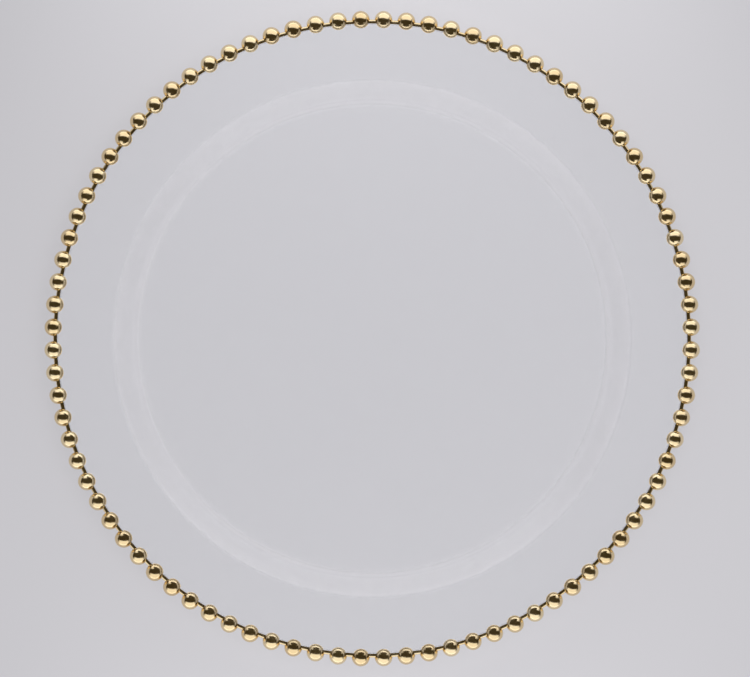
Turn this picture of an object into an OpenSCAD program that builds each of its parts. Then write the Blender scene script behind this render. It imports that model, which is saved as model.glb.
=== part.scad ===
// Glass charger plate with a beaded, gilded edge.
// It stands on its flat base at z = 0, with the plate's axis on z.

/* [Plate] */
// Diameter over the beads
plate_d = 330; // [300:1:360]
// Width of the rim, from the shoulder out to the gilt band
rim_w = 27; // [18:0.5:40]
// Width of the shoulder between the flat well and the rim, seen from above
shoulder_w = 14.4; // [13:0.2:20]
// Rise of the shoulder above the floor of the well
shoulder_rise = 8.5; // [6:0.5:11]
// Further rise of the rim from the shoulder out to its edge
rim_rise = 2; // [0.5:0.5:5]

/* [Glass] */
// Thickness of the glass under the well
well_t = 4; // [3:0.1:4.5]
// Thickness of the glass along the rim
rim_t = 3.4; // [2.6:0.1:4]
// Radius of the hollow bend where the well turns up into the shoulder
well_bend_r = 4; // [3:0.5:4.5]
// Radius of the round bend where the shoulder turns out into the rim
rim_bend_r = 6; // [5:0.5:6.5]

/* [Gilt band] */
// Width of the gilt band round the edge of the glass
band_w = 2; // [1.8:0.1:2.6]
// Radius of the band's two outer corners
band_corner_r = 0.9; // [0.3:0.1:0.9]

/* [Beads] */
// Diameter of a bead
bead_d = 9.2; // [7:0.1:10]
// Least gap wanted between one bead and the next
bead_gap = 2.2; // [1:0.1:6]

/* [Fits] */
// Bond line between the edge of the glass and the band, and between both and the slot in a bead
seat_gap = 0.08; // [0.05:0.01:0.2]

/* [Hidden] */

// Colours of the clear glass and of the gilding
glass_color = [0.86, 0.89, 0.9, 0.45];
gilt_color = [0.8, 0.62, 0.26];

// Chords along each bend of the outline, and facets of the preview mesh
bend_steps = 12;
ring_facets = 180;
corner_facets = 32;
bead_facets = 48;

// The beads stand on a circle through the outer edge of the band
bead_ring_r = (plate_d - bead_d) / 2;
bead_count = floor(PI * 2 * bead_ring_r / (bead_d + bead_gap));
bead_step = 360 / bead_count;
band_outer_r = bead_ring_r;
band_inner_r = band_outer_r - band_w;
glass_r = band_inner_r - seat_gap;
shoulder_r = glass_r - rim_w;
well_r = shoulder_r - shoulder_w;

// Heights of the glass, upwards from its base
shoulder_z = well_t + shoulder_rise;
edge_top_z = shoulder_z + rim_rise;
rim_slope = atan(rim_rise / (glass_r - shoulder_r));
edge_t = rim_t / cos(rim_slope);
edge_bottom_z = edge_top_z - edge_t;
bead_z = edge_top_z - edge_t / 2;

// Centres of the hollow bend and of the round bend, which the two faces of the glass share
hollow_c = [well_r, well_t + well_bend_r];
round_c = [shoulder_r + rim_bend_r * sin(rim_slope), shoulder_z - rim_bend_r * cos(rim_slope)];

// Steepest slope of the line that runs from an arc about hollow_c to an arc about round_c
function shoulder_slope(hollow_r, round_r) =
    let (run = round_c - hollow_c)
    atan2(run[1], run[0]) + asin((hollow_r + round_r) / norm(run));

// Points along an arc about c
function arc(c, r, from, to) = [
    for (i = [0:bend_steps])
        let (a = from + (to - from) * i / bend_steps)
        c + r * [cos(a), sin(a)]
];

// Upper face of the glass, from the axis out to the edge
function upper_face() =
    let (slope = shoulder_slope(well_bend_r, rim_bend_r))
    concat(
        [[0, well_t]],
        arc(hollow_c, well_bend_r, -90, slope - 90),
        arc(round_c, rim_bend_r, 90 + slope, 90 + rim_slope),
        [[glass_r, edge_top_z]]
    );

// Lower face of the glass, from the edge in to the axis, flat under the well
function lower_face() =
    let (
        hollow_r = well_bend_r + well_t,
        round_r = rim_bend_r - rim_t,
        slope = shoulder_slope(hollow_r, round_r)
    )
    concat(
        [[glass_r, edge_bottom_z]],
        arc(round_c, round_r, 90 + rim_slope, 90 + slope),
        arc(hollow_c, hollow_r, slope - 90, -90),
        [[0, 0]]
    );

// Section of the gilt band, square where it meets the glass and round at its outer corners
module band_section() {
    flat_w = band_w - band_corner_r;
    flat_t = edge_t / 2 - band_corner_r;
    translate([band_inner_r, bead_z]) {
        translate([0, -edge_t / 2]) square([flat_w, edge_t]);
        translate([0, -flat_t]) square([band_w, 2 * flat_t]);
        for (side = [-1, 1])
            translate([flat_w, side * flat_t])
                circle(r = band_corner_r, $fn = corner_facets);
    }
}

// Section of the slot in a bead: the edge of the glass and then the band, with the bond line
module slot_section() {
    inner_r = bead_ring_r - bead_d;
    outer_r = band_outer_r + seat_gap;
    drop = (glass_r - inner_r) * tan(rim_slope);
    bottom_z = edge_bottom_z - seat_gap;
    top_z = edge_top_z + seat_gap;
    polygon([
        [inner_r, bottom_z - drop],
        [glass_r, bottom_z],
        [outer_r, bottom_z],
        [outer_r, top_z],
        [glass_r, top_z],
        [inner_r, top_z - drop]
    ]);
}

module glass_plate() {
    color(glass_color)
        rotate_extrude($fn = ring_facets)
            polygon(concat(upper_face(), lower_face()));
}

module gilt_edge_band() {
    color(gilt_color)
        rotate_extrude($fn = ring_facets)
            band_section();
}

// One bead on the x axis, slotted from its inner side to fit over the edge
module bead() {
    difference() {
        translate([bead_ring_r, 0, bead_z]) sphere(d = bead_d, $fn = bead_facets);
        rotate_extrude($fn = ring_facets) slot_section();
    }
}

// The axes of the plate pass between two beads, so the first bead stands half a step off
module rim_beads() {
    color(gilt_color)
        for (i = [0:bead_count - 1])
            rotate([0, 0, (i + 1 / 2) * bead_step]) bead();
}

glass_plate();
gilt_edge_band();
rim_beads();
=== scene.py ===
"""A clear glass charger plate with a gilded, beaded edge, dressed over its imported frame.

The plate and its gilt band are turned from their outlines and the beads are set round the edge, by
Geometry Nodes whose inputs are the sizes of the real plate. Lengths are in metres.
"""

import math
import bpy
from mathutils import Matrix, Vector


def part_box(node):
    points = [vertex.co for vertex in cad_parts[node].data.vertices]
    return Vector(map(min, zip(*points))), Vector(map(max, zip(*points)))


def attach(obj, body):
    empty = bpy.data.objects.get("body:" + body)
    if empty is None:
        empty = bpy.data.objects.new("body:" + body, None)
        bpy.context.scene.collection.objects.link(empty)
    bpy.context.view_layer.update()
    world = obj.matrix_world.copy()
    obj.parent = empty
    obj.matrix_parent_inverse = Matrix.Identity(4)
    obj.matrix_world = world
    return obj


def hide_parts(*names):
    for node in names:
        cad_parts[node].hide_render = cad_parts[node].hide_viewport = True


bl_info = {
    "name": "Beaded Charger Plate",
    "version": (1, 0, 0),
    "blender": (4, 5, 0),
    "location": "View3D > Sidebar > Charger",
    "description": "Makes a clear glass charger plate with a gilt edge band and gilded rim beads",
    "category": "Object",
}

from types import SimpleNamespace

import bpy
from bpy.props import FloatProperty, FloatVectorProperty, IntProperty, PointerProperty
from mathutils import Matrix, Vector

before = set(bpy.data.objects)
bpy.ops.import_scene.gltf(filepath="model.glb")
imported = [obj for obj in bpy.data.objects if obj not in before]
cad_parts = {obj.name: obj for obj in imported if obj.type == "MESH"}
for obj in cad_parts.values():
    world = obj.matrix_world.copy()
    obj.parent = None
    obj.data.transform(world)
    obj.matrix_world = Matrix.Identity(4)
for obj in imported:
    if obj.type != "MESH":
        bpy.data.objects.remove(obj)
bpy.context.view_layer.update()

MM = 0.001
GLASS_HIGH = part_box("glass_plate")[1]
BAND_LOW, BAND_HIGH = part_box("gilt_edge_band")
BEADS_LOW, BEADS_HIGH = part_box("rim_beads")

# The beads are round and stand on a circle through the outer face of the band
BEAD_D = BEADS_HIGH[2] - BEADS_LOW[2]
BEAD_Z = (BEADS_HIGH[2] + BEADS_LOW[2]) / 2
BEAD_RING_R = BAND_HIGH[0]

# Width and rise of the rim, which the slots in the beads follow too
RIM_WIDTH, RIM_RISE = 27 * MM, 2 * MM

# Size of the photograph in pixels, and where the plate's axis and the beads' outer edge lie in it
PHOTO_W, PHOTO_H = 750, 677
AXIS_X_PX, AXIS_Y_PX = 372.2, 338.6
BEADS_EDGE_R_PX = 328


class PlateSizes(bpy.types.PropertyGroup):
    """Sizes of the pressed glass plate"""

    edge_radius: FloatProperty(
        name="Edge radius",
        description="Radius of the glass under the gilt band",
        default=GLASS_HIGH[0],
        unit="LENGTH",
    )
    edge_height: FloatProperty(
        name="Edge height",
        description="Height of the rim's upper face at its edge",
        default=GLASS_HIGH[2],
        unit="LENGTH",
    )
    rim_width: FloatProperty(
        name="Rim width",
        description="From the shoulder out to the gilt band",
        default=RIM_WIDTH,
        unit="LENGTH",
    )
    rim_rise: FloatProperty(
        name="Rim rise",
        description="How far the rim climbs from the shoulder to its edge",
        default=RIM_RISE,
        unit="LENGTH",
    )
    rim_thickness: FloatProperty(
        name="Rim thickness",
        description="Thickness of the glass along the rim",
        default=3.4 * MM,
        unit="LENGTH",
    )
    shoulder_width: FloatProperty(
        name="Shoulder width",
        description="From the flat well to the rim, seen from above",
        default=14.4 * MM,
        unit="LENGTH",
    )
    well_thickness: FloatProperty(
        name="Well thickness",
        description="Thickness of the glass under the well",
        default=4 * MM,
        unit="LENGTH",
    )
    well_bend: FloatProperty(
        name="Well bend",
        description="Radius of the hollow bend between the well and the shoulder",
        default=4 * MM,
        unit="LENGTH",
    )
    rim_bend: FloatProperty(
        name="Rim bend",
        description="Radius of the round bend between the shoulder and the rim",
        default=6 * MM,
        unit="LENGTH",
    )
    fire_polish: FloatProperty(
        name="Fire polish",
        description="Radius that the polishing flame leaves on the small corners",
        default=0.4 * MM,
        unit="LENGTH",
    )
    segments: IntProperty(
        name="Segments", description="Facets round the plate", default=300, min=32, max=512
    )
    bend_cuts: IntProperty(
        name="Bend cuts", description="Facets along each bend", default=14, min=2, max=32
    )


class BandSizes(bpy.types.PropertyGroup):
    """Sizes of the gilt band round the edge of the glass"""

    outer_radius: FloatProperty(
        name="Outer radius",
        description="Radius of the band's outer face",
        default=BAND_HIGH[0],
        unit="LENGTH",
    )
    top: FloatProperty(
        name="Top",
        description="Height of the band's upper face",
        default=BAND_HIGH[2],
        unit="LENGTH",
    )
    bottom: FloatProperty(
        name="Bottom",
        description="Height of the band's lower face",
        default=BAND_LOW[2],
        unit="LENGTH",
    )
    width: FloatProperty(
        name="Width",
        description="Width of the band, seen from above",
        default=2 * MM,
        unit="LENGTH",
    )
    outer_round: FloatProperty(
        name="Outer rounding",
        description="Radius of the band's two outer corners",
        default=0.9 * MM,
        unit="LENGTH",
    )
    inner_round: FloatProperty(
        name="Inner rounding",
        description="Radius of the band's two inner corners",
        default=0.2 * MM,
        unit="LENGTH",
    )
    segments: IntProperty(
        name="Segments", description="Facets round the band", default=300, min=32, max=512
    )
    corner_cuts: IntProperty(
        name="Corner cuts", description="Facets along each corner", default=6, min=2, max=16
    )


class BeadSizes(bpy.types.PropertyGroup):
    """Sizes of the gilded beads"""

    count: IntProperty(
        name="Count", description="Beads round the edge", default=88, min=3, max=200
    )
    ring_radius: FloatProperty(
        name="Ring radius",
        description="Radius of the circle that the beads stand on",
        default=BEAD_RING_R,
        unit="LENGTH",
    )
    height: FloatProperty(
        name="Height",
        description="Height of the beads' centres",
        default=BEAD_Z,
        unit="LENGTH",
    )
    diameter: FloatProperty(
        name="Diameter",
        description="Diameter of a bead",
        default=BEAD_D,
        unit="LENGTH",
    )
    edge_thickness: FloatProperty(
        name="Edge thickness",
        description="Thickness of the edge that a bead's slot fits over",
        default=BAND_HIGH[2] - BAND_LOW[2],
        unit="LENGTH",
    )
    edge_slope: FloatProperty(
        name="Edge slope",
        description="Slope of the rim that the slot follows inwards",
        default=math.atan2(RIM_RISE, RIM_WIDTH),
        unit="ROTATION",
    )
    level_width: FloatProperty(
        name="Level width",
        description="Width of the level part of the edge, the gilt band and its bond line",
        default=BAND_HIGH[0] - GLASS_HIGH[0],
        unit="LENGTH",
    )
    seat: FloatProperty(
        name="Seat",
        description="Bond line between the slot and the edge of the plate",
        default=0.08 * MM,
        unit="LENGTH",
    )
    least_scale: FloatProperty(
        name="Least scale",
        description="Size of the smallest bead beside the largest",
        default=0.98,
        min=0.9,
        max=1.0,
    )
    seed: IntProperty(name="Seed", description="Seed of the beads' small differences", default=7)


class Finishes(bpy.types.PropertyGroup):
    """Colours of the glass and of the gilding"""

    glass: FloatVectorProperty(
        name="Glass",
        description="Colour of the clear glass",
        default=(0.887, 0.89, 0.898),
        subtype="COLOR",
    )
    pale_gold: FloatVectorProperty(
        name="Pale gold",
        description="Gilding where it is thin and bright",
        default=(0.87, 0.72, 0.46),
        subtype="COLOR",
    )
    deep_gold: FloatVectorProperty(
        name="Deep gold",
        description="Gilding where it lies thick",
        default=(0.79, 0.61, 0.35),
        subtype="COLOR",
    )


class StageSettings(bpy.types.PropertyGroup):
    """Floor, backdrop, lamps and camera"""

    ground: FloatVectorProperty(
        name="Ground",
        description="Colour of the floor and of the backdrop",
        default=(0.604, 0.597, 0.631),
        subtype="COLOR",
    )
    camera_height: FloatProperty(
        name="Camera height",
        description="Height of the camera over the beads",
        default=1.2,
        unit="LENGTH",
    )
    panel_brightness: FloatProperty(
        name="Panel brightness",
        description="Brightness of the two long side panels, where 1 is white",
        default=1.15,
    )
    panel_turn: FloatProperty(
        name="Panel turn",
        description="Turn of the panels about the plate's axis",
        default=math.radians(-5.5),
        unit="ROTATION",
    )
    fill_brightness: FloatProperty(
        name="Fill brightness",
        description="Brightness of the overhead fill, where 1 is white",
        default=1.8,
    )
    gap_light: FloatVectorProperty(
        name="Gap light",
        description="Dim light of the room above, between the panels",
        default=(0.05, 0.04, 0.02),
        subtype="COLOR",
    )


class Number:
    """A number inside a node tree, so that sizes are worked out there with plain arithmetic."""

    def __init__(self, tree, socket):
        self.tree = tree
        self.socket = socket

    def math(self, operation, *others):
        step = self.tree.nodes.new("ShaderNodeMath")
        step.operation = operation
        for socket, value in zip(step.inputs, (self, *others)):
            feed(self.tree, socket, value)
        return Number(self.tree, step.outputs[0])

    def __add__(self, other):
        return self.math("ADD", other)

    def __sub__(self, other):
        return self.math("SUBTRACT", other)

    def __mul__(self, other):
        return self.math("MULTIPLY", other)

    def __truediv__(self, other):
        return self.math("DIVIDE", other)


def feed(tree, socket, value):
    """Gives a socket its value: a Number, another socket, or a constant."""
    if isinstance(value, Number):
        value = value.socket
    if isinstance(value, bpy.types.NodeSocket):
        tree.links.new(value, socket)
    else:
        socket.default_value = value


def shown(sockets):
    """The sockets that a node shows in its present mode, by name."""
    return {socket.name: socket for socket in sockets if socket.enabled}


def add_node(tree, kind, inputs=None, output=0, **settings):
    """Adds a node with its settings and its inputs, and gives one of its outputs."""
    made = tree.nodes.new(kind)
    for name, value in settings.items():
        setattr(made, name, value)
    for name, value in (inputs or {}).items():
        feed(tree, made.inputs[name], value)
    return made.outputs[output]


def start_tree(name, sizes):
    """A geometry tree with a named input for each of the sizes, and those inputs as numbers."""
    tree = bpy.data.node_groups.new(name, "GeometryNodeTree")
    tree.interface.new_socket("Geometry", in_out="OUTPUT", socket_type="NodeSocketGeometry")
    labels = {key: sizes.bl_rna.properties[key] for key in type(sizes).__annotations__}
    for size in labels.values():
        kind = "NodeSocketInt" if size.type == "INT" else "NodeSocketFloat"
        tree.interface.new_socket(size.name, in_out="INPUT", socket_type=kind)
    source = tree.nodes.new("NodeGroupInput")
    numbers = {key: Number(tree, source.outputs[size.name]) for key, size in labels.items()}
    return tree, SimpleNamespace(**numbers)


def end_tree(tree, geometry, material):
    """Ends a tree: real geometry, then its material, then the output."""
    real = add_node(tree, "GeometryNodeRealizeInstances", {"Geometry": geometry})
    finished = add_node(
        tree, "GeometryNodeSetMaterial", {"Geometry": real, "Material": material}
    )
    out = tree.nodes.new("NodeGroupOutput")
    tree.links.new(finished, out.inputs[0])


def place(tree, x=0.0, y=0.0, z=0.0):
    """A vector made of three numbers."""
    return add_node(tree, "ShaderNodeCombineXYZ", {"X": x, "Y": y, "Z": z})


def by_corner(tree, kind, values):
    """A field that gives each corner of an outline its own value, in order."""
    switch = tree.nodes.new("GeometryNodeIndexSwitch")
    switch.data_type = kind
    while len(switch.index_switch_items) < len(values):
        switch.index_switch_items.new()
    feed(tree, switch.inputs["Index"], add_node(tree, "GeometryNodeInputIndex"))
    for i, value in enumerate(values):
        feed(tree, switch.inputs[f"{i}"], value)
    return switch.outputs[0]


# Points of a turned body closer than this become one, on its axis and where its skin closes
MERGE_WITHIN = 0.002 * MM


def turned(tree, corners, segments, cuts, closed):
    """A body turned about the z axis from the corners (radius, height, rounding) of its outline.

    The corners run outwards along the top, so that the faces point out of the body.
    """
    line = add_node(tree, "GeometryNodeCurvePrimitiveLine")
    points = add_node(
        tree, "GeometryNodeResampleCurve", {"Curve": line, "Count": len(corners)}, mode="COUNT"
    )
    # Curve to Mesh turns an outline's x outwards from the path and its y downwards
    path_radius = 1.0
    spots = [place(tree, radius - path_radius, height * -1) for radius, height, _ in corners]
    outline = add_node(
        tree,
        "GeometryNodeSetPosition",
        {"Geometry": points, "Position": by_corner(tree, "VECTOR", spots)},
    )
    ring = add_node(tree, "GeometryNodeSetSplineCyclic", {"Geometry": outline, "Cyclic": closed})
    roundings = by_corner(tree, "FLOAT", [rounding for _, _, rounding in corners])
    rounded = add_node(
        tree,
        "GeometryNodeFilletCurve",
        {"Curve": ring, "Count": cuts, "Radius": roundings, "Limit Radius": True},
        mode="POLY",
    )
    path = add_node(
        tree, "GeometryNodeCurvePrimitiveCircle", {"Resolution": segments, "Radius": path_radius}
    )
    swept = add_node(tree, "GeometryNodeCurveToMesh", {"Curve": path, "Profile Curve": rounded})
    return add_node(
        tree, "GeometryNodeMergeByDistance", {"Geometry": swept, "Distance": MERGE_WITHIN}
    )


def plate_corners(size):
    """The plate's outline: well, shoulder and rim along the top, and back under them to the base."""
    shoulder_r = size.edge_radius - size.rim_width
    well_r = shoulder_r - size.shoulder_width
    shoulder_z = size.edge_height - size.rim_rise
    rim_slope = size.rim_rise.math("ARCTAN2", size.rim_width)
    edge_bottom = size.edge_height - size.rim_thickness / rim_slope.math("COSINE")

    # Centres of the hollow bend and of the round bend, which both faces of the glass share
    hollow_x, hollow_z = well_r, size.well_thickness + size.well_bend
    round_x = shoulder_r + size.rim_bend * rim_slope.math("SINE")
    round_z = shoulder_z - size.rim_bend * rim_slope.math("COSINE")
    run, climb = round_x - hollow_x, round_z - hollow_z
    apart = (run * run + climb * climb).math("SQRT")

    def bends(hollow_r, round_r):
        """The two corners of a face that its bends round off."""
        slope = climb.math("ARCTAN2", run) + ((hollow_r + round_r) / apart).math("ARCSINE")
        lean = (slope + rim_slope) * 0.5
        reach = round_r / ((slope - rim_slope) * 0.5).math("COSINE")
        low = (hollow_x + hollow_r * (slope * 0.5).math("TANGENT"), hollow_z - hollow_r, hollow_r)
        high = (
            round_x - reach * lean.math("SINE"),
            round_z + reach * lean.math("COSINE"),
            round_r,
        )
        return low, high

    low_top, high_top = bends(size.well_bend, size.rim_bend)
    low_under, high_under = bends(
        size.well_bend + size.well_thickness, size.rim_bend - size.rim_thickness
    )
    zero = size.edge_radius * 0.0
    return [
        (zero, size.well_thickness, 0.0),
        low_top,
        high_top,
        (size.edge_radius, size.edge_height, size.fire_polish),
        (size.edge_radius, edge_bottom, size.fire_polish),
        high_under,
        low_under,
        (zero, zero, 0.0),
    ]


def glass_tree(sizes, material):
    """Turns the plate from its outline."""
    tree, size = start_tree("Glass plate", sizes)
    body = turned(tree, plate_corners(size), size.segments, size.bend_cuts, False)
    end_tree(tree, body, material)
    return tree


def band_tree(sizes, material):
    """Turns the gilt band from its section, with its two outer corners well rounded."""
    tree, size = start_tree("Gilt band", sizes)
    inner_radius = size.outer_radius - size.width
    corners = [
        (inner_radius, size.top, size.inner_round),
        (size.outer_radius, size.top, size.outer_round),
        (size.outer_radius, size.bottom, size.outer_round),
        (inner_radius, size.bottom, size.inner_round),
    ]
    end_tree(tree, turned(tree, corners, size.segments, size.corner_cuts, True), material)
    return tree


BEAD_SEGMENTS, BEAD_RINGS, SLOT_SEGMENTS = 32, 16, 120


def slotted_bead(tree, size):
    """One bead about its own centre, slotted from its inner side to fit over the edge."""
    ball = add_node(
        tree,
        "GeometryNodeMeshUVSphere",
        {"Segments": BEAD_SEGMENTS, "Rings": BEAD_RINGS, "Radius": size.diameter * 0.5},
    )
    out_to_ring = place(tree, size.ring_radius, 0.0, size.height)
    seated = add_node(
        tree, "GeometryNodeTransform", {"Geometry": ball, "Translation": out_to_ring}
    )

    # The slot follows the slope of the rim inwards, and is level round the band
    level_r = size.ring_radius - size.level_width
    inner_r = size.ring_radius - size.diameter
    outer_r = size.ring_radius + size.seat
    drop = (level_r - inner_r) * size.edge_slope.math("TANGENT")
    top = size.height + size.edge_thickness * 0.5 + size.seat
    bottom = size.height - size.edge_thickness * 0.5 - size.seat
    section = [
        (inner_r, top - drop, 0.0),
        (level_r, top, 0.0),
        (outer_r, top, 0.0),
        (outer_r, bottom, 0.0),
        (level_r, bottom, 0.0),
        (inner_r, bottom - drop, 0.0),
    ]
    slot = turned(tree, section, SLOT_SEGMENTS, 1, True)
    cut = tree.nodes.new("GeometryNodeMeshBoolean")
    cut.operation, cut.solver = "DIFFERENCE", "EXACT"
    feed(tree, cut.inputs["Mesh 1"], seated)
    feed(tree, cut.inputs["Mesh 2"], slot)
    back = place(tree, size.ring_radius * -1, 0.0, size.height * -1)
    return add_node(
        tree, "GeometryNodeTransform", {"Geometry": cut.outputs[0], "Translation": back}
    )


def random_number(tree, seed, low=0.0, high=1.0):
    """A random number for each point."""
    draw = tree.nodes.new("FunctionNodeRandomValue")
    draw.data_type = "FLOAT"
    for name, value in (("Min", low), ("Max", high), ("Seed", seed)):
        feed(tree, shown(draw.inputs)[name], value)
    return shown(draw.outputs)["Value"]


def beads_tree(sizes, material):
    """Sets slotted beads round the edge, each a little unlike the next."""
    tree, size = start_tree("Rim beads", sizes)

    # The axes of the plate pass between two beads, so the first bead stands half a step off
    index = Number(tree, add_node(tree, "GeometryNodeInputIndex"))
    angle = (index + 0.5) * (2 * math.pi) / size.count
    spot = place(
        tree,
        size.ring_radius * angle.math("COSINE"),
        size.ring_radius * angle.math("SINE"),
        size.height,
    )
    points = add_node(tree, "GeometryNodeMeshLine", {"Count": size.count}, mode="OFFSET")
    spots = add_node(tree, "GeometryNodeSetPosition", {"Geometry": points, "Position": spot})
    toned = add_node(
        tree,
        "GeometryNodeStoreNamedAttribute",
        {"Geometry": spots, "Name": "bead_tone", "Value": random_number(tree, size.seed)},
        data_type="FLOAT",
        domain="POINT",
    )
    ring = add_node(
        tree,
        "GeometryNodeInstanceOnPoints",
        {
            "Points": toned,
            "Instance": slotted_bead(tree, size),
            "Rotation": place(tree, 0.0, 0.0, angle),
            "Scale": random_number(tree, size.seed + 1, size.least_scale),
        },
    )
    end_tree(tree, ring, material)
    return tree


# Edges sharper than these show as edges
SMOOTH_TO, BEAD_SMOOTH_TO = math.radians(50), math.radians(35)


def shaped(name, tree, sizes, sharp_angle):
    """The mesh that a tree makes at the given sizes, as an object at the origin."""
    piece = bpy.data.objects.new(name, bpy.data.meshes.new(name))
    bpy.context.collection.objects.link(piece)
    maker = piece.modifiers.new("Maker", "NODES")
    maker.node_group = tree
    keys = {sizes.bl_rna.properties[key].name: key for key in type(sizes).__annotations__}
    for item in tree.interface.items_tree:
        if item.in_out == "INPUT":
            maker[item.identifier] = getattr(sizes, keys[item.name])
    settled = piece.evaluated_get(bpy.context.evaluated_depsgraph_get())
    mesh = bpy.data.meshes.new_from_object(settled)
    piece.modifiers.clear()
    if not mesh.polygons:
        raise RuntimeError(f"{name} came out empty")
    mesh.name = name
    mesh.shade_smooth()
    mesh.set_sharp_from_angle(angle=sharp_angle)
    piece.data = mesh
    return piece


def seat_piece(piece, node):
    """Lets a piece stand for its CAD node, on the plate's one body and with its finish."""
    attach(piece, "root")
    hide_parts(node)


def start_material(name):
    """A material with its shader and its output, and its object coordinates."""
    material = bpy.data.materials.new(name)
    material.use_nodes = True
    tree = material.node_tree
    tree.nodes.clear()
    shader = tree.nodes.new("ShaderNodeBsdfPrincipled")
    output = tree.nodes.new("ShaderNodeOutputMaterial")
    coords = add_node(tree, "ShaderNodeTexCoord", output="Object")
    return material, tree, shader, output, coords


# How broken up noise is, and the range that nearly all of it lies in
SOFT, PATCHY, FINE = 2.0, 3.0, 4.0
NOISE_LOW, NOISE_HIGH = 0.3, 0.7


def noise(tree, coords, grain, detail=SOFT):
    """Noise whose features are about one grain across."""
    return add_node(
        tree, "ShaderNodeTexNoise", {"Vector": coords, "Scale": 1 / grain, "Detail": detail}
    )


def spread(tree, value, low, high):
    """Noise spread over the range from low to high."""
    return add_node(
        tree,
        "ShaderNodeMapRange",
        {
            "Value": value,
            "From Min": NOISE_LOW,
            "From Max": NOISE_HIGH,
            "To Min": low,
            "To Max": high,
        },
    )


def bumps(tree, coords, grain, depth, strength, detail=SOFT):
    """A surface that rises and falls with noise."""
    height = noise(tree, coords, grain, detail)
    return add_node(
        tree, "ShaderNodeBump", {"Height": height, "Strength": strength, "Distance": depth}
    )


def blended(tree, share, first, second):
    """A colour that goes from the first to the second as the share goes from 0 to 1."""
    mix = tree.nodes.new("ShaderNodeMix")
    mix.data_type = "RGBA"
    for name, value in (("Factor", share), ("A", (*first, 1.0)), ("B", (*second, 1.0))):
        feed(tree, shown(mix.inputs)[name], value)
    return shown(mix.outputs)["Result"]


def eased(tree, value, start, end, low, high):
    """A number that goes smoothly from low to high as the value goes from start to end."""
    step = add_node(
        tree,
        "ShaderNodeMapRange",
        {"Value": value, "From Min": start, "From Max": end, "To Min": low, "To Max": high},
        interpolation_type="SMOOTHSTEP",
    )
    return Number(tree, step)


# A pale layer on the slope of the shoulder is painted highlight for its light ring, and a trace of it
# reaches past its edges
SLOPE_RING_HIGHLIGHT, REACHING_RING_HIGHLIGHT = 0.12, 0.025
RING_HIGHLIGHT_GRAIN, FAINTEST_RING_SHARE = 9 * MM, 0.7
RING_HIGHLIGHT_COLOUR = (0.9, 0.885, 0.93, 1.0)

# Upright part of the surface's normal where the painted highlight on the slope begins, and where all
# of it is there
UPRIGHT_NONE, UPRIGHT_ALL = 0.996, 0.88

# Shares of half the shoulder's width, from its middle: where the trace of painted highlight ends,
# where all of it is there, and where the bends begin. Between the bends there is a little less
# painted highlight.
REACH_NONE_SHARE, REACH_ALL_SHARE, BENDS_SHARE = 1.25, 0.85, 0.7
BETWEEN_BENDS_SHARE = 0.85


def shoulder_ring_highlight(tree, coords, middle, half_width):
    """How much painted highlight the shoulder gets: a pale trace on its slope, most at its bends."""
    normal, spot = (tree.nodes.new("ShaderNodeSeparateXYZ") for _ in range(2))
    feed(tree, normal.inputs[0], add_node(tree, "ShaderNodeNewGeometry", output="Normal"))
    feed(tree, spot.inputs[0], coords)
    upright = Number(tree, normal.outputs["Z"]).math("ABSOLUTE")
    x, y = Number(tree, spot.outputs["X"]), Number(tree, spot.outputs["Y"])
    off = ((x * x + y * y).math("SQRT") - middle).math("ABSOLUTE") / half_width
    slope = eased(tree, upright, UPRIGHT_NONE, UPRIGHT_ALL, 0.0, SLOPE_RING_HIGHLIGHT)
    reaching = eased(tree, off, REACH_NONE_SHARE, REACH_ALL_SHARE, 0.0, REACHING_RING_HIGHLIGHT)
    bends = eased(tree, off, 0.0, BENDS_SHARE, BETWEEN_BENDS_SHARE, 1.0)
    patches = spread(tree, noise(tree, coords, RING_HIGHLIGHT_GRAIN), FAINTEST_RING_SHARE, 1.0)
    return (slope + reaching) * bends * patches


# Clear glass: its bloom, its wave, and what its two faces let through of a lamp's light
GLASS_IOR = 1.5
BLOOM_GRAIN, BLOOM_ROUGHNESS = 24 * MM, 0.03
WAVE_GRAIN, WAVE_DEPTH, WAVE_STRENGTH = 30 * MM, 0.05 * MM, 0.3
LAMP_PASS = (0.96, 0.96, 0.96, 1.0)


def clear_glass(colour, shoulder_middle, shoulder_width):
    """Pressed clear glass: a faint wave from the mould, a painted highlight on the shoulder, and a
    bloom.
    """
    material, tree, shader, output, coords = start_material("clear_glass")
    shader.inputs["Base Color"].default_value = (*colour, 1.0)
    shader.inputs["Transmission Weight"].default_value = 1.0
    shader.inputs["IOR"].default_value = GLASS_IOR
    bloom = spread(tree, noise(tree, coords, BLOOM_GRAIN, FINE), 0.0, BLOOM_ROUGHNESS)
    feed(tree, shader.inputs["Roughness"], bloom)
    wave = bumps(tree, coords, WAVE_GRAIN, WAVE_DEPTH, WAVE_STRENGTH)
    feed(tree, shader.inputs["Normal"], wave)

    # A pale diffuse layer mixed into the glass on the shoulder is painted highlight, lightest at its
    # two bends
    ring_highlight_share = shoulder_ring_highlight(tree, coords, shoulder_middle, shoulder_width / 2)
    ring_highlight = add_node(tree, "ShaderNodeBsdfDiffuse", {"Color": RING_HIGHLIGHT_COLOUR})
    pressed = add_node(tree, "ShaderNodeMixShader", {0: ring_highlight_share, 1: shader.outputs[0], 2: ring_highlight})

    # Lamps shine through the plate on to the ground, less what its two faces turn back
    shadow_ray = add_node(tree, "ShaderNodeLightPath", output="Is Shadow Ray")
    passing = add_node(tree, "ShaderNodeBsdfTransparent", {"Color": LAMP_PASS})
    both = add_node(tree, "ShaderNodeMixShader", {0: shadow_ray, 1: pressed, 2: passing})
    feed(tree, output.inputs["Surface"], both)
    return material


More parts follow.
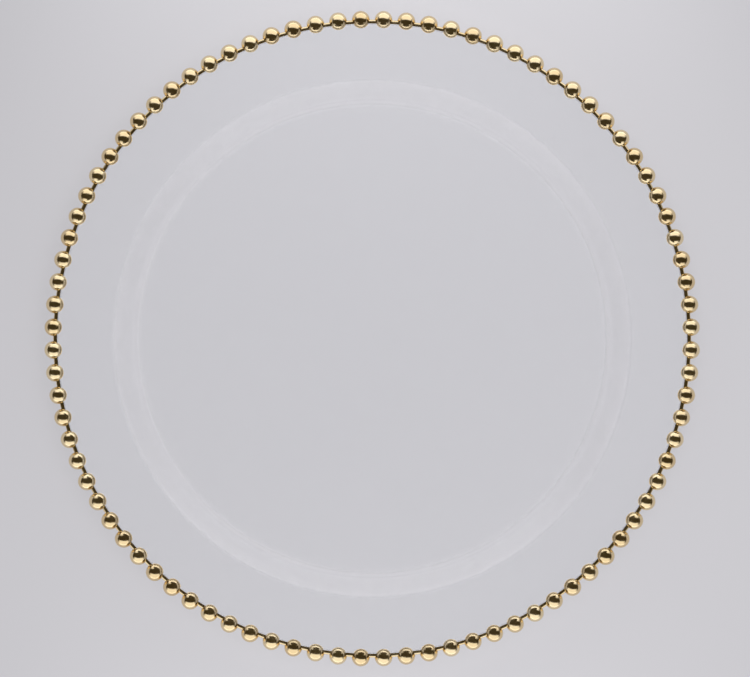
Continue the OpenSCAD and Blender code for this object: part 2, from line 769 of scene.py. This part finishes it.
# Gold fired on glass: the grain of its patches, of its polish and of its surface
PATCH_GRAIN, POLISH_GRAIN, GOLD_GRAIN = 7 * MM, 2 * MM, 0.6 * MM
POLISHED, RUBBED = 0.12, 0.24
GOLD_DEPTH, GOLD_STRENGTH = 0.02 * MM, 0.35

# How far a bead's own tone, beside the patches, decides between deep and pale gold
OWN_TONE = 0.4


def gilding(name, pale, deep, tone=None):
    """Gold fired on glass: deep and pale patches, a fine grain, and a polish that comes and goes."""
    material, tree, shader, output, coords = start_material(name)
    patches = Number(tree, noise(tree, coords, PATCH_GRAIN, PATCHY))
    if tone:
        each = add_node(tree, "ShaderNodeAttribute", output="Fac", attribute_name=tone)
        patches = patches * (1 - OWN_TONE) + Number(tree, each) * OWN_TONE
    share = spread(tree, patches, 0.0, 1.0)
    feed(tree, shader.inputs["Base Color"], blended(tree, share, deep, pale))
    shader.inputs["Metallic"].default_value = 1.0
    polish = spread(tree, noise(tree, coords, POLISH_GRAIN), POLISHED, RUBBED)
    feed(tree, shader.inputs["Roughness"], polish)
    grain = bumps(tree, coords, GOLD_GRAIN, GOLD_DEPTH, GOLD_STRENGTH, FINE)
    feed(tree, shader.inputs["Normal"], grain)
    feed(tree, output.inputs["Surface"], shader.outputs[0])
    return material


# The ground's tone under the middle of the plate, and the painted light and shade added to it at the
# reach below:
# painted light before and behind the plate, more of it behind; on its sides, painted shade on the
# left and a little painted light on the right. What is added before and behind fades towards the
# corners, and nothing more is added past the limit, counted in reaches.
TONE_MIDDLE = 1.04
PAINTED_LIGHT_ENDS, PAINTED_LIGHT_BACK, PAINTED_LIGHT_CORNER_FADE = 0.08, 0.04, 1.2
PAINTED_SHADE_SIDES, PAINTED_LIGHT_RIGHT = -0.02, 0.02
PAINTED_LIGHT_REACH, PAINTED_LIGHT_LIMIT = 172 * MM, 1.2

# Share of the ground's own even colour in what is seen of it near the plate, and through the glass.
# It grows with distance from EVEN_NEAR, and from EVEN_FAR on nothing else is seen.
EVEN_SHARE, EVEN_SHARE_THROUGH_GLASS = 0.65, 0.95
EVEN_NEAR, EVEN_FAR = 0.32, 0.9
GROUND_ROUGHNESS, GROUND_SPECULAR = 0.9, 0.1


def ground_painted_light(tree, coords, colour, near):
    """The ground's colour with painted light and shade near the plate: paler behind and before it, as
    photographed.
    """
    parts = tree.nodes.new("ShaderNodeSeparateXYZ")
    feed(tree, parts.inputs[0], coords)
    reach = (Number(tree, parts.outputs[axis]) / PAINTED_LIGHT_REACH for axis in "XY")
    right, back = (
        way.math("MINIMUM", PAINTED_LIGHT_LIMIT).math("MAXIMUM", -PAINTED_LIGHT_LIMIT) for way in reach
    )
    aside = right * right
    ends = (back * back * PAINTED_LIGHT_ENDS + back * PAINTED_LIGHT_BACK) * (aside * -PAINTED_LIGHT_CORNER_FADE + 1.0)
    tone = (ends + right * PAINTED_LIGHT_RIGHT + aside * PAINTED_SHADE_SIDES) * near + TONE_MIDDLE
    return add_node(tree, "ShaderNodeVectorMath", {0: colour, "Scale": tone}, operation="SCALE")


def ground_material(colour):
    """A pale matt ground that looks evenly lit, in part near the plate and wholly far away."""
    material, tree, shader, output, coords = start_material("studio_ground")
    away = add_node(
        tree, "ShaderNodeVectorMath", {0: coords}, output="Value", operation="LENGTH"
    )
    far = eased(tree, away, EVEN_NEAR, EVEN_FAR, 0.0, 1.0)
    # Near the plate the ground's colour carries painted light and shade, which both the floor and its
    # glow show
    toned = ground_painted_light(tree, coords, colour, far * -1 + 1.0)
    feed(tree, shader.inputs["Base Color"], toned)
    shader.inputs["Roughness"].default_value = GROUND_ROUGHNESS
    shader.inputs["Specular IOR Level"].default_value = GROUND_SPECULAR
    glow = add_node(tree, "ShaderNodeEmission", {"Color": toned})
    share = far * (1 - EVEN_SHARE) + EVEN_SHARE
    rays = tree.nodes.new("ShaderNodeLightPath").outputs
    open_view = Number(tree, rays["Is Camera Ray"]).math("MAXIMUM", rays["Is Glossy Ray"])
    through_glass = Number(tree, rays["Is Transmission Ray"]) * EVEN_SHARE_THROUGH_GLASS
    even = (open_view * share).math("MAXIMUM", through_glass)
    both = add_node(tree, "ShaderNodeMixShader", {0: even, 1: shader.outputs[0], 2: glow})
    feed(tree, output.inputs["Surface"], both)
    return material


SWEEP_RADIUS, SWEEP_HEIGHT, SWEEP_BEND = 3.2, 0.65, 0.4
SWEEP_SEGMENTS, SWEEP_CUTS = 96, 12

# The plate stands this far over the ground, so that its flat base never lies in the ground's face
BASE_CLEARANCE = 0.05 * MM


def sweep_mesh():
    """A round floor that curves up into a low wall."""
    turn = [math.pi / 2 * i / SWEEP_CUTS for i in range(SWEEP_CUTS + 1)]
    outline = [
        (SWEEP_RADIUS - SWEEP_BEND * (1 - math.sin(t)), SWEEP_BEND * (1 - math.cos(t)))
        for t in turn
    ]
    outline.append((SWEEP_RADIUS, SWEEP_HEIGHT))
    points = [(0.0, 0.0, -BASE_CLEARANCE)]
    for radius, height in outline:
        for k in range(SWEEP_SEGMENTS):
            angle = 2 * math.pi * k / SWEEP_SEGMENTS
            x, y = radius * math.cos(angle), radius * math.sin(angle)
            points.append((x, y, height - BASE_CLEARANCE))
    faces = [(0, 1 + k, 1 + (k + 1) % SWEEP_SEGMENTS) for k in range(SWEEP_SEGMENTS)]
    for ring in range(len(outline) - 1):
        low, high = 1 + ring * SWEEP_SEGMENTS, 1 + (ring + 1) * SWEEP_SEGMENTS
        for k in range(SWEEP_SEGMENTS):
            following = (k + 1) % SWEEP_SEGMENTS
            faces.append((low + k, high + k, high + following, low + following))
    mesh = bpy.data.meshes.new("studio_sweep")
    mesh.from_pydata(points, [], faces)
    mesh.shade_smooth()
    return mesh


# Each side panel runs from an inner, upper edge to an outer, lower one
PANEL_TOP_Y, PANEL_TOP_Z = 0.255, 0.39
PANEL_LOW_Y, PANEL_LOW_Z = 0.600, 0.020
PANEL_LENGTH = 1.6

# Brightness of each panel beside the mean, and how much of its width and length comes up softly
PANEL_SHARES = (1.04, 0.96)
EDGE_SOFT_SHARE, END_SOFT_SHARE = 0.12, 0.3

# The dark card on edge over the middle of the plate, and the fill high over its right side
CARD_HALF_LENGTH, CARD_LOW_Z, CARD_HIGH_Z = 0.14, 0.042, 0.4
FILL_X, FILL_HEIGHT, FILL_SIZE = 0.3, 1.5, 1.6


def area_lamp(name, length, width, brightness):
    """A soft rectangular lamp as bright as given, which the camera doesn't see."""
    light = bpy.data.lights.new(name, "AREA")
    light.shape = "RECTANGLE"
    light.size, light.size_y = length, width
    light.energy = brightness * math.pi * length * width
    lamp = bpy.data.objects.new(name, light)
    lamp.visible_camera = False
    bpy.context.collection.objects.link(lamp)
    return lamp


def soften_edges(light):
    """Lets a panel come up softly behind its inner edge and fade towards both ends."""
    light.use_nodes = True
    tree = light.node_tree
    parts = tree.nodes.new("ShaderNodeSeparateXYZ")
    place_on_lamp = add_node(tree, "ShaderNodeNewGeometry", output="Parametric")
    feed(tree, parts.inputs[0], place_on_lamp)
    from_end = (Number(tree, parts.outputs["X"]) - 0.5).math("ABSOLUTE") * -1 + 0.5
    outwards = eased(tree, parts.outputs["Y"], 0.0, EDGE_SOFT_SHARE, 0.0, 1.0)
    inwards = eased(tree, from_end, 0.0, END_SOFT_SHARE, 0.0, 1.0)
    feed(tree, tree.nodes["Emission"].inputs["Strength"], outwards * inwards)


def add_side_panels(stage):
    """Two long soft panels, one on each side of the plate, with a dark gap over it."""
    rise, reach = PANEL_TOP_Z - PANEL_LOW_Z, PANEL_LOW_Y - PANEL_TOP_Y
    middle = Vector((0, (PANEL_TOP_Y + PANEL_LOW_Y) / 2, (PANEL_TOP_Z + PANEL_LOW_Z) / 2))
    tilt = Matrix.Rotation(-math.atan2(rise, reach), 4, "X")
    for side, share in enumerate(PANEL_SHARES):
        lamp = area_lamp(
            f"side_panel_{side}",
            PANEL_LENGTH,
            math.hypot(rise, reach),
            stage.panel_brightness * share,
        )
        soften_edges(lamp.data)
        turn = Matrix.Rotation(stage.panel_turn + side * math.pi, 4, "Z")
        lamp.matrix_world = turn @ Matrix.Translation(middle) @ tilt


def add_dark_card(stage):
    """A dark card on edge over the middle of the plate, seen only as it shows in the piece."""
    x, low, high = CARD_HALF_LENGTH, CARD_LOW_Z, CARD_HIGH_Z
    mesh = bpy.data.meshes.new("dark_card")
    mesh.from_pydata(
        [(-x, 0, low), (x, 0, low), (x, 0, high), (-x, 0, high)], [], [(0, 1, 2, 3)]
    )
    material = bpy.data.materials.new("dark_card")
    material.use_nodes = True
    tree = material.node_tree
    tree.nodes.clear()
    glow = add_node(tree, "ShaderNodeEmission", {"Color": (*stage.gap_light, 1.0)})
    feed(tree, tree.nodes.new("ShaderNodeOutputMaterial").inputs["Surface"], glow)
    mesh.materials.append(material)
    card = bpy.data.objects.new("dark_card", mesh)
    card.rotation_euler.z = stage.panel_turn
    card.visible_camera = False
    card.visible_diffuse = False
    card.visible_transmission = False
    card.visible_shadow = False
    bpy.context.collection.objects.link(card)


def add_fill(stage):
    """A broad lamp overhead that lights the ground but doesn't show in the gilding."""
    lamp = area_lamp("overhead_fill", FILL_SIZE, FILL_SIZE, stage.fill_brightness)
    lamp.visible_glossy = False
    lamp.location = (FILL_X, 0, FILL_HEIGHT)


def add_camera(stage):
    """A camera straight above, framed as the photograph is."""
    metres_per_px = (BEAD_RING_R + BEAD_D / 2) / BEADS_EDGE_R_PX
    camera = bpy.data.cameras.new("camera")
    camera.lens = camera.sensor_width * stage.camera_height / (PHOTO_W * metres_per_px)
    eye = bpy.data.objects.new("camera", camera)
    eye.location = (
        (PHOTO_W / 2 - AXIS_X_PX) * metres_per_px,
        (AXIS_Y_PX - PHOTO_H / 2) * metres_per_px,
        BEAD_Z + stage.camera_height,
    )
    bpy.context.collection.objects.link(eye)
    bpy.context.scene.camera = eye


def add_world(stage):
    """The dim room above the panels, where a low camera sees the backdrop go on."""
    world = bpy.data.worlds.new("room")
    world.use_nodes = True
    tree = world.node_tree
    seen = add_node(tree, "ShaderNodeLightPath", output="Is Camera Ray")
    backdrop = [part * TONE_MIDDLE for part in stage.ground]
    colour = blended(tree, seen, stage.gap_light, backdrop)
    feed(tree, tree.nodes["Background"].inputs["Color"], colour)
    bpy.context.scene.world = world


class CHARGER_OT_stage(bpy.types.Operator):
    """Sets the floor, the backdrop, the lamps, the room's light and the camera"""

    bl_idname = "charger.stage"
    bl_label = "Set the Stage"

    def execute(self, context):
        stage = context.scene.charger_stage
        sweep = bpy.data.objects.new("studio_sweep", sweep_mesh())
        sweep.data.materials.append(ground_material(stage.ground))
        context.collection.objects.link(sweep)
        add_side_panels(stage)
        add_dark_card(stage)
        add_fill(stage)
        add_world(stage)
        add_camera(stage)
        context.scene.view_settings.view_transform = "Standard"
        return {"FINISHED"}


class CHARGER_OT_glass_plate(bpy.types.Operator):
    """Makes the clear glass plate: flat well, shoulder and broad rim"""

    bl_idname = "charger.glass_plate"
    bl_label = "Make the Glass Plate"

    def execute(self, context):
        sizes = context.scene.charger_plate
        shoulder_middle = sizes.edge_radius - sizes.rim_width - sizes.shoulder_width / 2
        material = clear_glass(
            context.scene.charger_finishes.glass, shoulder_middle, sizes.shoulder_width
        )
        piece = shaped("clear_plate", glass_tree(sizes, material), sizes, SMOOTH_TO)
        seat_piece(piece, "glass_plate")
        return {"FINISHED"}


class CHARGER_OT_gilt_band(bpy.types.Operator):
    """Makes the gilt band that runs round the edge of the glass"""

    bl_idname = "charger.gilt_band"
    bl_label = "Make the Gilt Band"

    def execute(self, context):
        sizes = context.scene.charger_band
        finishes = context.scene.charger_finishes
        material = gilding("gilt_band", finishes.pale_gold, finishes.deep_gold)
        piece = shaped("gilt_band", band_tree(sizes, material), sizes, SMOOTH_TO)
        seat_piece(piece, "gilt_edge_band")
        return {"FINISHED"}


class CHARGER_OT_rim_beads(bpy.types.Operator):
    """Makes the gilded beads and sets them round the edge of the plate"""

    bl_idname = "charger.rim_beads"
    bl_label = "Make the Rim Beads"

    def execute(self, context):
        sizes = context.scene.charger_beads
        finishes = context.scene.charger_finishes
        material = gilding("gilt_beads", finishes.pale_gold, finishes.deep_gold, "bead_tone")
        piece = shaped("gilt_bead_ring", beads_tree(sizes, material), sizes, BEAD_SMOOTH_TO)
        seat_piece(piece, "rim_beads")
        return {"FINISHED"}


class CHARGER_PT_panel(bpy.types.Panel):
    """Sizes and colours of the charger plate, and the steps that make it"""

    bl_idname = "CHARGER_PT_panel"
    bl_label = "Charger Plate"
    bl_space_type = "VIEW_3D"
    bl_region_type = "UI"
    bl_category = "Charger"

    def draw(self, context):
        for key, steps in STEPS.items():
            group = getattr(context.scene, key)
            box = self.layout.box()
            for name in type(group).__annotations__:
                box.prop(group, name)
            for step in steps:
                box.operator(step.bl_idname)


GROUPS = {
    "charger_finishes": Finishes,
    "charger_stage": StageSettings,
    "charger_plate": PlateSizes,
    "charger_band": BandSizes,
    "charger_beads": BeadSizes,
}
STEPS = {
    "charger_finishes": (),
    "charger_stage": (CHARGER_OT_stage,),
    "charger_plate": (CHARGER_OT_glass_plate,),
    "charger_band": (CHARGER_OT_gilt_band,),
    "charger_beads": (CHARGER_OT_rim_beads,),
}
CLASSES = (
    *GROUPS.values(),
    *(step for steps in STEPS.values() for step in steps),
    CHARGER_PT_panel,
)


def register():
    for made in CLASSES:
        bpy.utils.register_class(made)
    for key, group in GROUPS.items():
        setattr(bpy.types.Scene, key, PointerProperty(type=group))


def unregister():
    for key in GROUPS:
        delattr(bpy.types.Scene, key)
    for made in reversed(CLASSES):
        bpy.utils.unregister_class(made)


def main():
    """Makes the stage and every piece."""
    register()
    bpy.ops.charger.stage()
    bpy.ops.charger.glass_plate()
    bpy.ops.charger.gilt_band()
    bpy.ops.charger.rim_beads()


if __name__ == "__main__":
    main()
